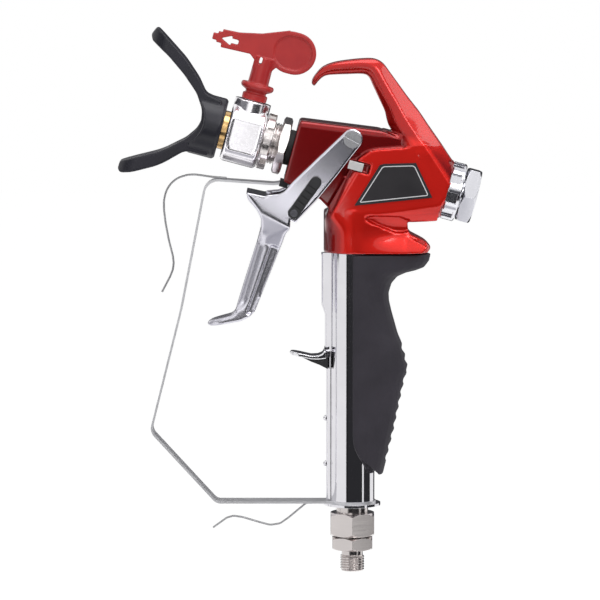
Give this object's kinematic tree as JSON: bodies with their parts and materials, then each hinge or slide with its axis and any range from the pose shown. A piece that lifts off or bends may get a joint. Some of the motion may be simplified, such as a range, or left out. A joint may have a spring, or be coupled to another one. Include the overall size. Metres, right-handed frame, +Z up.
{
  "type": "airless paint spray gun",
  "caption": "Hand-held airless paint spray gun with a two-finger trigger, a reversible tip in a flared guard, a hanging hook and a strap hand guard.",
  "frame": {"origin": "centre of the hose inlet's lower end face", "axes": "+Z up along the handle tube, -X the way the gun sprays (the valve axis is tilted 15 degrees nose up), +Y across the gun, away from the lock lever"},
  "size_m": [0.1997, 0.0401, 0.3001],
  "materials": {
    "nickel": "turned and plated steel",
    "black_seal": "smooth rubber",
    "chrome_tube": "mirror chrome",
    "spring_steel": "drawn steel",
    "filter_mesh": "filter mesh on a plastic core",
    "grip_rubber": "soft matte rubber",
    "casting_red": "metallic lacquer over cast aluminium",
    "plate_dark": "bare dark plate with a pale border",
    "steel": "machined steel",
    "seal_white": "sealing plastic",
    "brass": "turned brass",
    "polished_alloy": "polished cast aluminium",
    "bright_alloy": "bright machined aluminium",
    "lock_black": "ribbed black plastic",
    "tip_red": "moulded red plastic",
    "guard_black": "glass-filled black plastic",
    "carbide": "sintered carbide"
  },
  "bodies": {
    "root": {"swivel_body": "nickel", "swivel_seal": "black_seal", "handle_fitting": "nickel", "bottom_flange": "nickel", "handle_tube": "chrome_tube", "filter_spring": "spring_steel", "handle_filter": "filter_mesh", "tube_spine": "chrome_tube", "spine_rivets": "chrome_tube", "finger_rest": "polished_alloy", "finger_rest_pad": "lock_black", "grip": "grip_rubber", "body_casting": "casting_red", "side_plates": "plate_dark", "gun_head": "steel", "head_gasket": "black_seal", "valve_seat": "carbide", "packing_seals": "seal_white", "packing_nut": "brass", "return_spring": "spring_steel", "rear_sleeve": "bright_alloy", "rear_cap": "bright_alloy", "pivot_screws": "steel", "captive_nut": "bright_alloy", "guard_strap": "spring_steel", "guard_clamp": "lock_black", "guard_wire_upper": "spring_steel", "guard_wire_lower": "spring_steel"},
    "swivel": {"swivel_nipple": "nickel"},
    "trigger": {"trigger": "polished_alloy"},
    "needle": {"needle": "steel", "needle_yoke": "bright_alloy"},
    "lock": {"lock_lever": "lock_black", "lock_shaft": "steel", "lock_clip": "spring_steel"},
    "guard": {"tip_holder": "bright_alloy", "tip_seal": "black_seal", "tip_saddle": "steel", "brass_ring": "brass", "tip_guard": "guard_black"},
    "tip": {"tip_barrel": "steel", "tip_insert": "carbide", "tip_flag": "tip_red"}
  },
  "joints": [
    {"name": "trigger_pull", "type": "hinge", "parent": "root", "child": "trigger", "pos_m": [-0.00033, 0, 0.24], "axis": [0, -1, 0], "range_deg": [0, 15], "stiffness_Nm_per_rad": 4, "springref_deg": -8.59},
    {"name": "needle_slide", "type": "slide", "parent": "root", "child": "needle", "axis": [0.9659, 0, -0.2588], "range_m": [0, 0.003]},
    {"name": "trigger_lock", "type": "hinge", "parent": "trigger", "child": "lock", "pos_m": [-0.03223, 0, 0.1998], "axis": [0, 1, 0], "range_deg": [0, 60]},
    {"name": "guard_turn", "type": "hinge", "parent": "root", "child": "guard", "pos_m": [-0.0594, 0, 0.24092], "axis": [-0.9659, 0, 0.2588], "range_deg": [-90, 90]},
    {"name": "tip_turn", "type": "hinge", "parent": "guard", "child": "tip", "pos_m": [-0.0594, 0, 0.24092], "axis": [0.2588, 0, 0.9659], "range_deg": [0, 180]},
    {"name": "swivel_spin", "type": "hinge", "parent": "root", "child": "swivel", "pos_m": [0, 0, 0.02], "axis": [0, 0, 1], "continuous": true}
  ],
  "couplings": [
    {"joint": "needle_slide", "follows": "trigger_pull", "m_per_rad": 0.01145}
  ]
}
